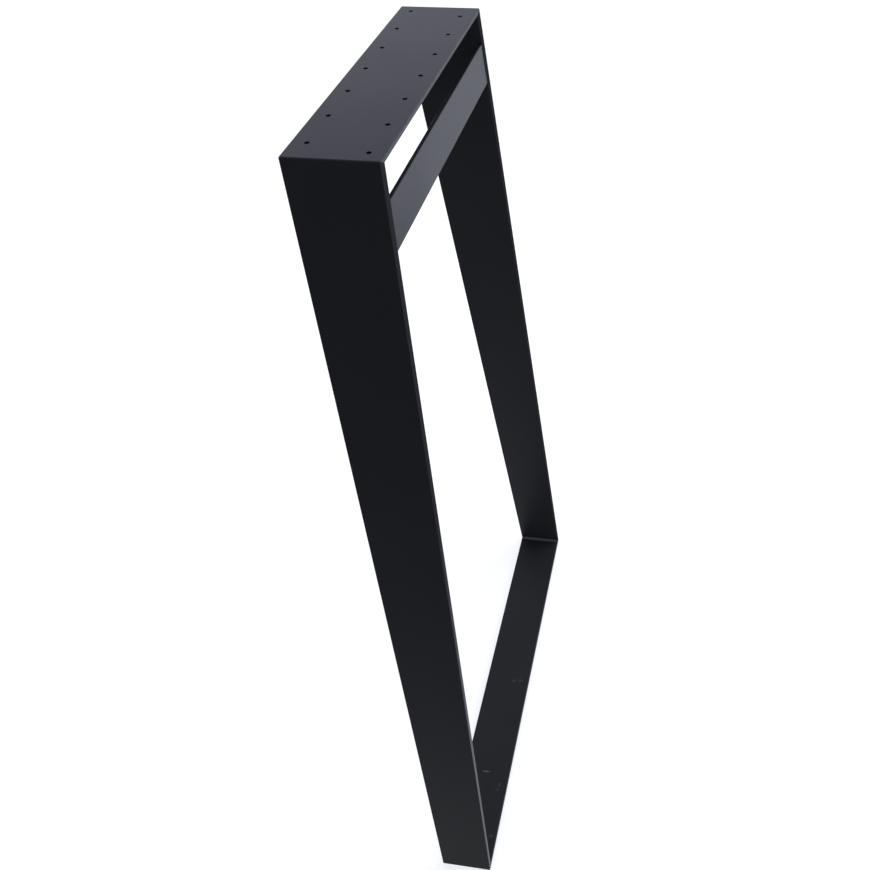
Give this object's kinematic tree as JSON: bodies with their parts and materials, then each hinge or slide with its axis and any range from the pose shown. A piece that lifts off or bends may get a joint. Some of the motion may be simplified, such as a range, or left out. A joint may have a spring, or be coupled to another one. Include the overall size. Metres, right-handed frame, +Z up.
{
  "type": "table leg",
  "caption": "Black powder-coated steel table leg: a welded flat-bar trapezoid frame, wider at the floor, with a drilled screw plate on top and a brace bar under it.",
  "frame": {"origin": "middle of the base bar's underside, on the floor", "axes": "+Z up from the floor to the table top, X along the frame from upright to upright, Y across the width of the bars"},
  "size_m": [0.6994, 0.08, 1.1],
  "materials": {
    "bar_coat": "fine-textured matt black powder coat",
    "base_coat": "matt black powder coat with a few pale scuffs",
    "weld_coat": "powder coat over rippled weld beads, a little glossier"
  },
  "bodies": {
    "root": {"top_plate": "bar_coat", "left_upright": "bar_coat", "right_upright": "bar_coat", "base_bar": "base_coat", "brace": "bar_coat", "corner_welds": "weld_coat", "brace_welds": "weld_coat"}
  },
  "joints": []
}
